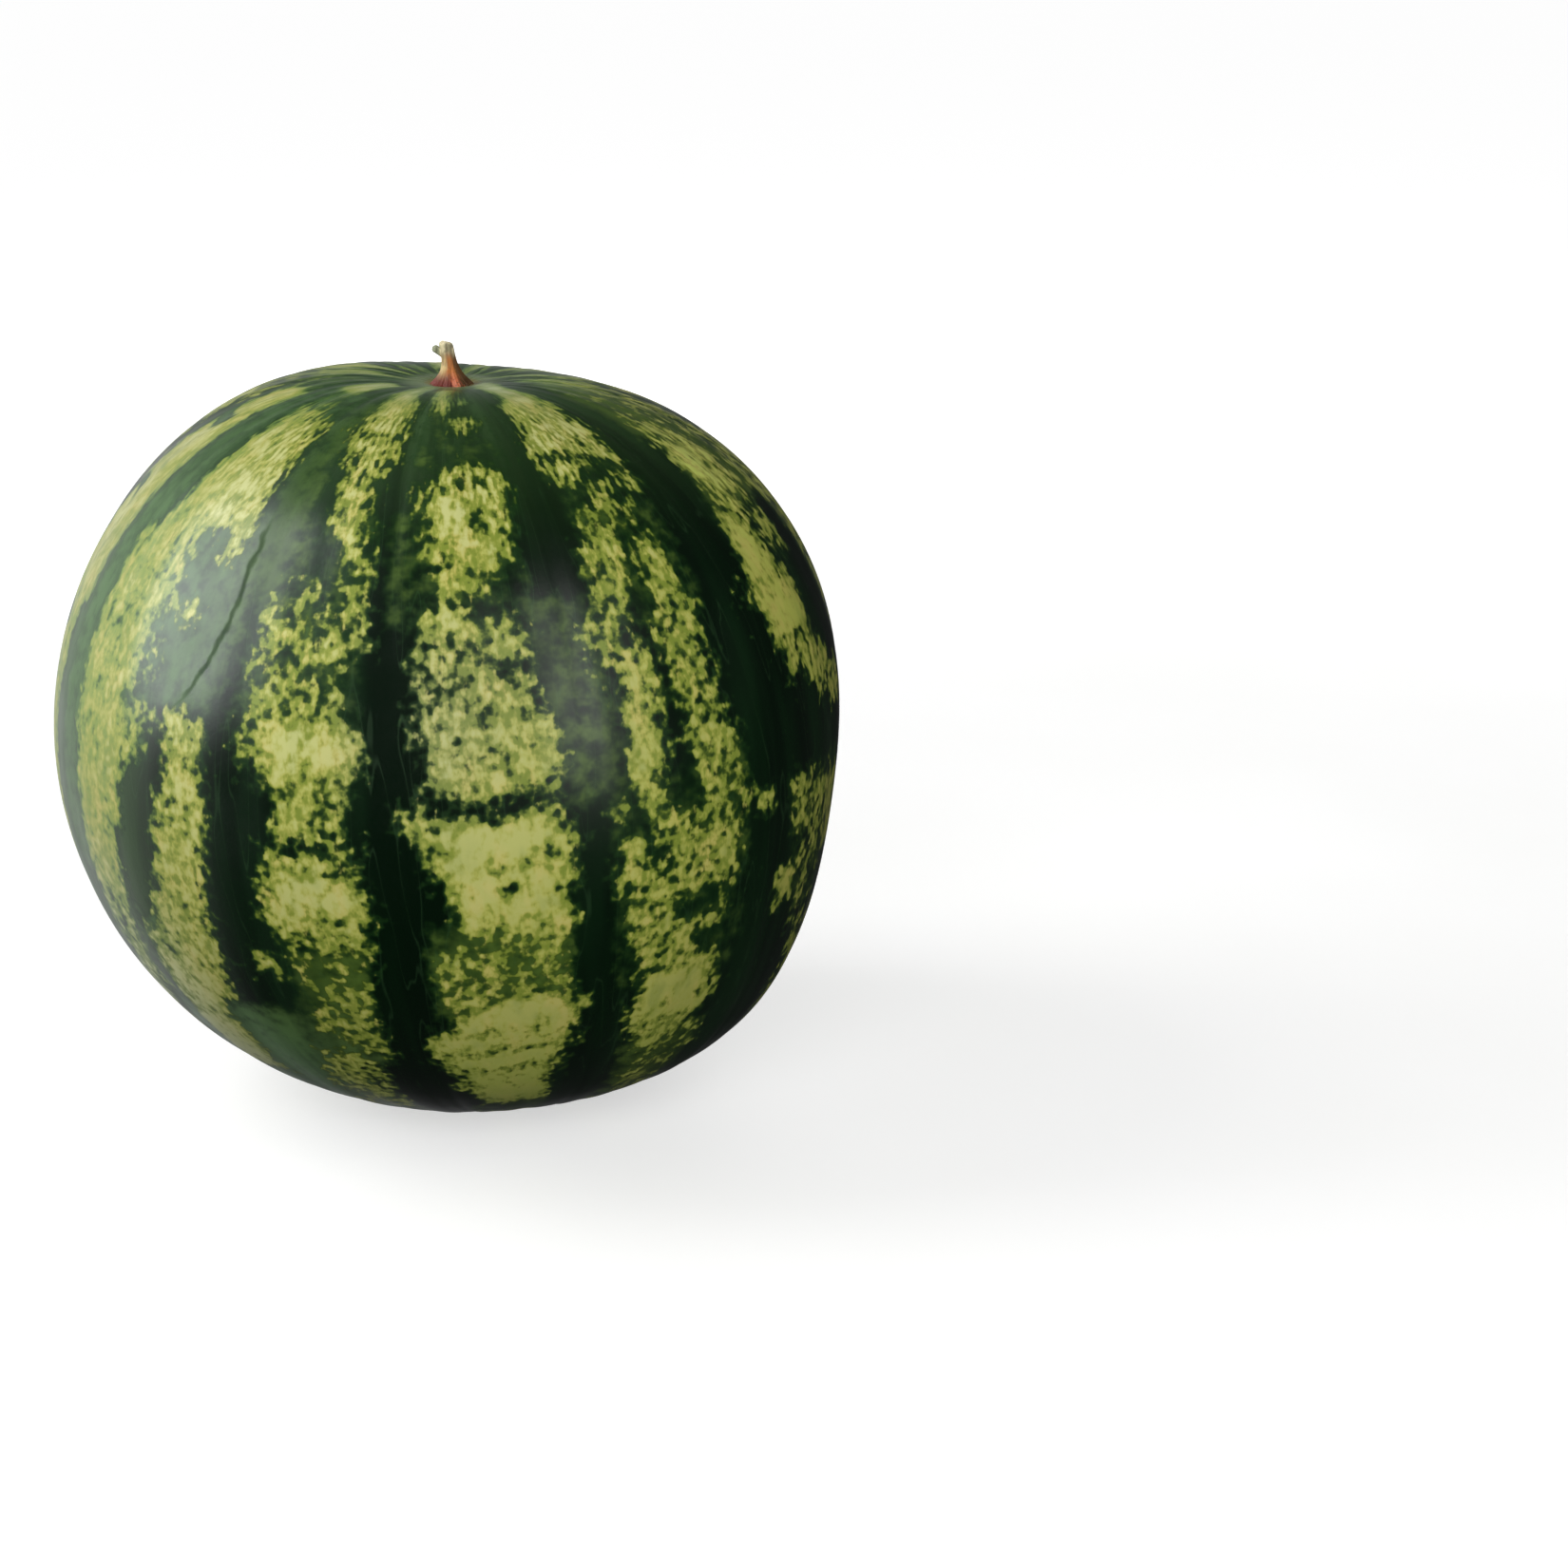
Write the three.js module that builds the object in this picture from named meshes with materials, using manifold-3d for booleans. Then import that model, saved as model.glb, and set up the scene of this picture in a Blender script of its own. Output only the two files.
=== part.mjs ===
// A whole round watermelon with the dried stub of its stem.
// Millimetres, +Z up. The origin is the middle of the small flat spot that the fruit rests on.
import * as THREE from 'three';
import { mergeVertices } from 'three/addons/utils/BufferGeometryUtils.js';
import Module from 'manifold-3d';

const wasm = await Module();
wasm.setup();

// ---- Driving dimensions ----

// The plain body is an ellipsoid about a centre above the rest spot.
const FRUIT_RADIUS = 139; // half its width
const TOP_HALF_HEIGHT = 135.5;
const BOTTOM_HALF_HEIGHT = 137.5;
const FRUIT_CENTRE = new THREE.Vector3(-4, 0, 135);

// Broad forms of the grown shape. Azimuth is counted from +X towards +Y and polar from straight up,
// in degrees. Height is how far the skin stands out there, and spread is how wide the form is.
const FORMS = [
  { azimuth: 0, polar: 0, height: -12, spread: 36 }, // flat stem end
  { azimuth: 0, polar: 0, height: -5, spread: 12 }, // hollow round the stem
  { azimuth: 145, polar: 35, height: 6, spread: 25 }, // fuller shoulder at the back left
  { azimuth: 20, polar: 45, height: 1, spread: 25 }, // slight shoulder at the right
  { azimuth: -5, polar: 100, height: -5, spread: 25 }, // flatter flank at the right
  { azimuth: -20, polar: 135, height: 8, spread: 25 }, // fuller belly low at the right
  { azimuth: -145, polar: 150, height: -1, spread: 35 }, // leaner low at the left
];

// The scar that the blossom left, a shallow dish beside the middle of the rest spot.
const SCAR_X = 11.5;
const SCAR_Y = 10.9;
const SCAR_RADIUS = 5.5;
const SCAR_DEPTH = 1.2;

// The stem stub, a ridged foot that narrows to a neck. Its heights are counted from the skin round it.
const STEM_X = -2;
const STEM_Y = 0;
const STEM_LEVEL = 254.3; // height of the skin at the stem over the rest spot
const STEM_HEIGHT = 15.4;
const FOOT_DEPTH = 1.6; // how far the foot is sunk in the skin
const FOOT_RADIUS = 7.1;
const NECK_RADIUS = 2.1;
const TIP_RADIUS = 2.4;
const FLARE_HEIGHT = 4; // the height by which the foot has mostly narrowed
const STEM_BEND = 2.2; // the tip stands this far to -X of the foot
const FOOT_LEAN = 0.14; // the foot reaches further to -X than to +X, as a share of its radius
const FOOT_UNEVEN = 0.05; // it is also a little wider one way than the other
const RIDGES = 10; // strands of the stalk that run down the foot
const RIDGE_DEPTH = 0.07;
const STRONG_RIDGES = 5; // every other strand stands out more
const STRONG_RIDGE_DEPTH = 0.06;
const SHOOT_ROOT = 9; // height where the snapped-off side shoot leaves the neck
const SHOOT_TOP = 12.3;
const SHOOT_REACH = 5.4; // from the middle of the foot towards -X
const SHOOT_RADIUS = 1.15;
const KNOB_RADIUS = 1.45; // the shoot's broken end

const GAP = 0.4; // between the foot and the socket that it sits in

// ---- Fineness ----

const FRUIT_COLUMNS = 84;
const FRUIT_ROWS = 44;
const STEM_SIDES = 60;
const STEM_RINGS = 18;
const SHOOT_SIDES = 12;
const CUT_BOX = 200;

// ---- Helpers ----

const radians = THREE.MathUtils.degToRad;

// A closed mesh as a manifold solid, with its shared vertices merged.
function solidOf(geometry) {
  const bare = geometry.clone();
  bare.deleteAttribute('normal');
  bare.deleteAttribute('uv');
  const merged = mergeVertices(bare, 1e-4);
  return new wasm.Manifold(new wasm.Mesh({
    numProp: 3,
    vertProperties: merged.attributes.position.array,
    triVerts: new Uint32Array(merged.index.array),
  }));
}

// A manifold solid as a geometry with flat-shaded faces.
function geometryOf(solid) {
  const { vertProperties, triVerts } = solid.getMesh();
  const geometry = new THREE.BufferGeometry();
  geometry.setAttribute('position', new THREE.BufferAttribute(vertProperties, 3));
  geometry.setIndex(new THREE.BufferAttribute(triVerts, 1));
  const faceted = geometry.toNonIndexed();
  faceted.computeVertexNormals();
  return faceted;
}

// Moves every vertex of a geometry by a function of its position.
function reshape(geometry, move) {
  const position = geometry.attributes.position;
  const point = new THREE.Vector3();
  for (let i = 0; i < position.count; i++) {
    point.fromBufferAttribute(position, i);
    move(point);
    position.setXYZ(i, point.x, point.y, point.z);
  }
  return geometry;
}

function meshOf(name, solid, material) {
  const mesh = new THREE.Mesh(geometryOf(solid), material);
  mesh.name = name;
  return mesh;
}

// ---- The fruit ----

function directionOf({ azimuth, polar }) {
  const level = Math.sin(radians(polar));
  return new THREE.Vector3(
    level * Math.cos(radians(azimuth)),
    level * Math.sin(radians(azimuth)),
    Math.cos(radians(polar)),
  );
}

// Distance from the centre to the skin in a direction: the ellipsoid plus a bell for each form.
function skinRadius(direction) {
  const halfHeight = direction.z > 0 ? TOP_HALF_HEIGHT : BOTTOM_HALF_HEIGHT;
  const across = Math.hypot(direction.x, direction.y) / FRUIT_RADIUS;
  let radius = 1 / Math.hypot(across, direction.z / halfHeight);
  for (const form of FORMS) {
    const away = direction.angleTo(directionOf(form)) / radians(form.spread);
    radius += form.height * Math.exp(-away * away);
  }
  return radius;
}

function fruitBody() {
  const ball = new THREE.SphereGeometry(1, FRUIT_COLUMNS, FRUIT_ROWS);
  ball.rotateX(Math.PI / 2);
  return solidOf(reshape(ball, (point) => {
    point.normalize();
    point.multiplyScalar(skinRadius(point)).add(FRUIT_CENTRE);
  }));
}

// Everything below the resting plane.
function underRestSpot() {
  const box = new THREE.BoxGeometry(CUT_BOX, CUT_BOX, CUT_BOX);
  box.translate(0, 0, -CUT_BOX / 2);
  return solidOf(box);
}

function blossomScar() {
  const dish = new THREE.SphereGeometry(1, 16, 8);
  dish.scale(SCAR_RADIUS, SCAR_RADIUS, SCAR_DEPTH);
  dish.translate(SCAR_X, SCAR_Y, 0);
  return solidOf(dish);
}

function melonSolid() {
  return fruitBody()
    .subtract(underRestSpot())
    .subtract(blossomScar())
    .subtract(stubSolid(GAP));
}

// ---- The stem ----

// Radius of the stub at a height over the skin: a flare that dies away, then a blunt tip.
function stubRadius(height) {
  const risen = Math.max(height, 0);
  const flare = (FOOT_RADIUS - NECK_RADIUS) * Math.exp(-((risen / FLARE_HEIGHT) ** 1.4));
  const swell = (TIP_RADIUS - NECK_RADIUS) * (risen / STEM_HEIGHT) ** 2;
  const left = THREE.MathUtils.clamp((STEM_HEIGHT - risen) / TIP_RADIUS, 0, 1);
  const blunt = Math.sqrt(1 - (1 - left) ** 4);
  return (NECK_RADIUS + flare + swell) * blunt;
}

// Where the middle of the stub is at a height over the skin.
function stubMiddle(height) {
  const bend = STEM_BEND * (Math.max(height, 0) / STEM_HEIGHT) ** 1.3;
  return new THREE.Vector3(STEM_X - bend, STEM_Y, STEM_LEVEL + height);
}

// The ridges: how far the outline stands out or in, as a factor on the radius.
function ridgeFactor(turn, height) {
  const fade = Math.exp(-Math.max(height, 0) / (2 * FLARE_HEIGHT));
  const broad = FOOT_UNEVEN * Math.cos(2 * turn + 1) - FOOT_LEAN * Math.cos(turn);
  const weak = RIDGE_DEPTH * Math.cos(RIDGES * turn);
  const strong = STRONG_RIDGE_DEPTH * Math.cos(STRONG_RIDGES * turn);
  return 1 + fade * (broad + weak + strong);
}

// The stub itself, or with a gap the room that it needs.
function stubSolid(gap = 0) {
  const underside = -FOOT_DEPTH - gap;
  const profile = [new THREE.Vector2(0, underside), new THREE.Vector2(FOOT_RADIUS + gap, underside)];
  for (let ring = 0; ring < STEM_RINGS; ring++) {
    const height = STEM_HEIGHT * (ring / STEM_RINGS) ** 1.2;
    profile.push(new THREE.Vector2(stubRadius(height) + gap, height));
  }
  profile.push(new THREE.Vector2(0, STEM_HEIGHT));
  const lathe = new THREE.LatheGeometry(profile, STEM_SIDES);
  lathe.rotateX(Math.PI / 2);
  return solidOf(reshape(lathe, (point) => {
    const factor = ridgeFactor(Math.atan2(point.y, point.x), point.z);
    const middle = stubMiddle(point.z);
    point.set(middle.x + point.x * factor, middle.y + point.y * factor, middle.z);
  }));
}

// The snapped-off side shoot, a short taper from the neck to a small knob.
function shootSolid() {
  const root = stubMiddle(SHOOT_ROOT);
  const end = new THREE.Vector3(STEM_X - SHOOT_REACH, STEM_Y, STEM_LEVEL + SHOOT_TOP);
  const along = end.clone().sub(root);
  const shaft = new THREE.CylinderGeometry(SHOOT_RADIUS, SHOOT_RADIUS, along.length(), SHOOT_SIDES);
  const upright = new THREE.Vector3(0, 1, 0);
  shaft.applyQuaternion(new THREE.Quaternion().setFromUnitVectors(upright, along.clone().normalize()));
  shaft.translate(...root.clone().lerp(end, 0.5));
  const knob = new THREE.SphereGeometry(KNOB_RADIUS, SHOOT_SIDES, SHOOT_SIDES / 2);
  knob.translate(...end);
  return solidOf(shaft).add(solidOf(knob));
}

function stemSolid() {
  return stubSolid().add(shootSolid());
}

// ---- The object ----

const rind = new THREE.MeshStandardMaterial({ color: 0x3d5a30, roughness: 0.35, metalness: 0 });
const driedStem = new THREE.MeshStandardMaterial({ color: 0x9a7346, roughness: 0.85, metalness: 0 });

const watermelon = new THREE.Group();
watermelon.add(meshOf('melon', melonSolid(), rind));
watermelon.add(meshOf('stem', stemSolid(), driedStem));

export default watermelon;
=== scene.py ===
# %% [markdown]
# # A striped watermelon
#
# The fruit has two pieces: the melon, grown as one body, and the dried stub of its stem.
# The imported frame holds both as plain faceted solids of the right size. Each step below
# makes one finished surface or one finish, and says why it is made that way.

import math

import bmesh
import bpy
import numpy as np
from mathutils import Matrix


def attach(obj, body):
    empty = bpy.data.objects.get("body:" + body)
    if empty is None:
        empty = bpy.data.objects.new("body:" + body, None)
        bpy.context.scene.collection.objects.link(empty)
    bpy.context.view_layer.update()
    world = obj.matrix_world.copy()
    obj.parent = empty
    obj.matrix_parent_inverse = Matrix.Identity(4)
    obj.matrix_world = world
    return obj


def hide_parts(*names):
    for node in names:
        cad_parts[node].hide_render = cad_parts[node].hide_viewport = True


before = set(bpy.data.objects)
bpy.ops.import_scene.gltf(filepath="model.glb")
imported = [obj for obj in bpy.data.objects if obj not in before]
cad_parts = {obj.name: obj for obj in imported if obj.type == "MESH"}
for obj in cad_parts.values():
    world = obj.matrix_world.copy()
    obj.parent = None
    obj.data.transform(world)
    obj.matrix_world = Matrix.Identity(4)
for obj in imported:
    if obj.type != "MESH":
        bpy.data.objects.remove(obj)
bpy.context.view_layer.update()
print("frame nodes:", sorted(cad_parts))

# %% [markdown]
# ## The shape of the fruit
#
# A watermelon is close to an ellipsoid, but no real one is exact. The skin's distance from
# the centre is that of an ellipsoid, plus a soft bell for each broad form: the flattened
# stem end, the small hollow round the stem, the shoulders, one flatter flank and an uneven
# belly. Sculpting by hand would give the same look, but a formula keeps the skin on the
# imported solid.

# %% Real sizes of the fruit, in metres
FRUIT_RADIUS = 0.139
TOP_HALF_HEIGHT = 0.1355
BOTTOM_HALF_HEIGHT = 0.1375
FRUIT_CENTRE = np.array([-0.004, 0.0, 0.135])
# Azimuth from +X towards +Y and polar from straight up in degrees, height, spread in degrees
FORMS = (
    (0.0, 0.0, -0.012, 36.0),  # flat stem end
    (0.0, 0.0, -0.005, 12.0),  # hollow round the stem
    (145.0, 35.0, 0.006, 25.0),  # fuller shoulder at the back left
    (20.0, 45.0, 0.001, 25.0),  # slight shoulder at the right
    (-5.0, 100.0, -0.005, 25.0),  # flatter flank at the right
    (-20.0, 135.0, 0.008, 25.0),  # fuller belly low at the right
    (-145.0, 150.0, -0.001, 35.0),  # leaner low at the left
)
STEM_POINT = np.array([-0.002, 0.0, 0.2543])
SCAR_POINT = np.array([0.0115, 0.0109, 0.0])
SCAR_RADIUS = 0.0055
SCAR_DEPTH = 0.0012


# %% Distance from the centre to the skin
def bell(away, spread):
    """One at the middle, dying away as exp of minus the square of distance over spread."""
    return np.exp(-((away / spread) ** 2))


def direction(azimuth, polar):
    """Unit vector from two angles in degrees: sin polar times the compass direction, cos polar up."""
    azimuth, polar = np.radians(azimuth), np.radians(polar)
    level = np.sin(polar)
    return np.stack([level * np.cos(azimuth), level * np.sin(azimuth), np.cos(polar)], -1)


def skin_radius(ways):
    """The ellipsoid's radius along each unit vector, plus height times the bell of each form."""
    half_height = np.where(ways[..., 2] > 0, TOP_HALF_HEIGHT, BOTTOM_HALF_HEIGHT)
    across = np.hypot(ways[..., 0], ways[..., 1]) / FRUIT_RADIUS
    radius = 1 / np.hypot(across, ways[..., 2] / half_height)
    for azimuth, polar, height, spread in FORMS:
        away = np.degrees(np.arccos(np.clip(ways @ direction(azimuth, polar), -1, 1)))
        radius = radius + height * bell(away, spread)
    return radius


# %% [markdown]
# ## The skin as a grid of meridians
#
# The stripes of a watermelon run from the stem to the blossom scar. So the grid's own lines
# do too: one parameter is the longitude round the line from scar to stem, the other is the
# angle down from the stem. A UV sphere with a subdivision modifier could be pulled into
# shape instead, but then the stripes would have to be found again on it.

# %% The fruit's own axis
AXIS = (STEM_POINT - SCAR_POINT) / np.linalg.norm(STEM_POINT - SCAR_POINT)
MIDDLE = (STEM_POINT + SCAR_POINT) / 2
TO_RIGHT = np.array([1.0, 0, 0]) - AXIS[0] * AXIS
TO_RIGHT /= np.linalg.norm(TO_RIGHT)
TO_BACK = np.cross(AXIS, TO_RIGHT)
COLUMNS = 440
ROWS = 218
GIRTH_RADIUS = 0.139
SEARCH_ROUNDS = 25


def skin_points(longitude, polar):
    """Where a ray from the axis' middle meets the skin: the ray's length is corrected again
    and again by how far its end still is from the skin."""
    longitude, polar = np.radians(longitude)[..., None], np.radians(polar)[..., None]
    around = np.sin(longitude) * TO_RIGHT - np.cos(longitude) * TO_BACK
    ways = np.sin(polar) * around + np.cos(polar) * AXIS
    length = np.full(ways.shape[:-1] + (1,), GIRTH_RADIUS)
    for _ in range(SEARCH_ROUNDS):
        offset = MIDDLE + ways * length - FRUIT_CENTRE
        reach = np.linalg.norm(offset, axis=-1, keepdims=True)
        length += skin_radius(offset / reach)[..., None] - reach
    return MIDDLE + ways * length


# %% Low relief of the skin
RIB_HEIGHT = 0.00008
RIB_COUNTS = (9, 23, 41)
RIB_PHASE = 1.7
GROOVES = (-11.5, 14.0, 45.0, 171.0)
GROOVE_DEPTH = 0.00022
GROOVE_WIDTH = 0.9
COLLAR_RADIUS = 0.0115
COLLAR_WIDTH = 0.003
COLLAR_HEIGHT = 0.0005
STEM_CALM = 0.03  # ribs and grooves fade out within this distance of the stem
LOW_SKIN = 0.01  # the scar's dish is only in skin lower than this


def with_relief(points, longitude):
    """Adds faint ribs, as a sum of cosines of the longitude, a few narrow grooves, a collar
    of callus round the stem, and the dish of the scar, then flattens what would sink below
    the rest spot. Ribs and grooves only ever go inwards, so the fruit keeps its size."""
    outward = points - MIDDLE
    outward = outward / np.linalg.norm(outward, axis=-1, keepdims=True)
    turn = np.radians(longitude)
    ribs = sum(np.cos(count * turn + RIB_PHASE * count) - 1 for count in RIB_COUNTS)
    grooves = sum(bell(longitude - middle, GROOVE_WIDTH) for middle in GROOVES)
    from_stem = np.linalg.norm(points - STEM_POINT, axis=-1)
    fade = 1 - bell(from_stem, STEM_CALM)
    collar = COLLAR_HEIGHT * bell(from_stem - COLLAR_RADIUS, COLLAR_WIDTH)
    relief = (RIB_HEIGHT * ribs - GROOVE_DEPTH * grooves) * fade + collar
    points = points + outward * relief[..., None]
    points[..., 2] = np.maximum(points[..., 2], 0)
    scar = np.linalg.norm((points - SCAR_POINT)[..., :2], axis=-1) / SCAR_RADIUS
    low = points[..., 2] < LOW_SKIN
    points[..., 2] += np.where(low, SCAR_DEPTH * np.sqrt(np.clip(1 - scar**2, 0, 1)), 0)
    return points


# %% A closed mesh from a grid of rings
def closed_mesh(name, rings, first_pole, last_pole):
    """Rings of equal length, joined by quads, with a fan of triangles to a pole at each end.
    Vertex k of ring r has the number 1 + r * length + k."""
    count, length = rings.shape[:2]
    points = np.concatenate([first_pole[None], rings.reshape(-1, 3), last_pole[None]])
    ring, spot = np.meshgrid(np.arange(count - 1), np.arange(length), indexing="ij")
    here = 1 + ring * length + spot
    beside = 1 + ring * length + (spot + 1) % length
    quads = np.stack([here, here + length, beside + length, beside], -1).reshape(-1, 4)
    k = np.arange(length)
    top = np.stack([np.zeros_like(k), 1 + k, 1 + (k + 1) % length], -1)
    base = 1 + (count - 1) * length
    bottom = np.stack([np.full_like(k, len(points) - 1), base + (k + 1) % length, base + k], -1)
    mesh = bpy.data.meshes.new(name)
    mesh.from_pydata(points.tolist(), [], quads.tolist() + top.tolist() + bottom.tolist())
    mesh.shade_smooth()
    mesh.validate()
    piece = bpy.data.objects.new(name, mesh)
    bpy.context.scene.collection.objects.link(piece)
    return piece


def add_attribute(piece, name, values):
    """Stores one number, or one vector, for each vertex."""
    kind, field = ("FLOAT", "value") if values.ndim == 1 else ("FLOAT_VECTOR", "vector")
    layer = piece.data.attributes.new(name, kind, "POINT")
    layer.data.foreach_set(field, values.astype(np.float32).ravel())


# %% The skin
longitude_grid, polar_grid = np.meshgrid(
    np.arange(COLUMNS) * 360 / COLUMNS - 180,
    (np.arange(ROWS) + 1) * 180 / (ROWS + 1),
)
skin_rings = with_relief(skin_points(longitude_grid, polar_grid), longitude_grid)
skin = closed_mesh("melon_skin", skin_rings, STEM_POINT, SCAR_POINT + [0, 0, SCAR_DEPTH])
print("skin faces:", len(skin.data.polygons), "height:", round(skin_rings[..., 2].max(), 4))

# %% [markdown]
# ## Where the stripes are pale
#
# The rind is dark green. The pale stripes are broken into patches, some solid and some so
# full of dark specks that little of them is left. A patch is a four-sided field given by its
# top and bottom, its left and right edge at the top and at the bottom, all in degrees on the
# grid, and its strength: how many millimetres of ragged edge it can lose before it is gone.
# An image could be painted, but then the pattern would have one fixed fineness. Here the mesh
# carries only how deep each spot lies inside a patch, and the shader roughens the edge.

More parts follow.
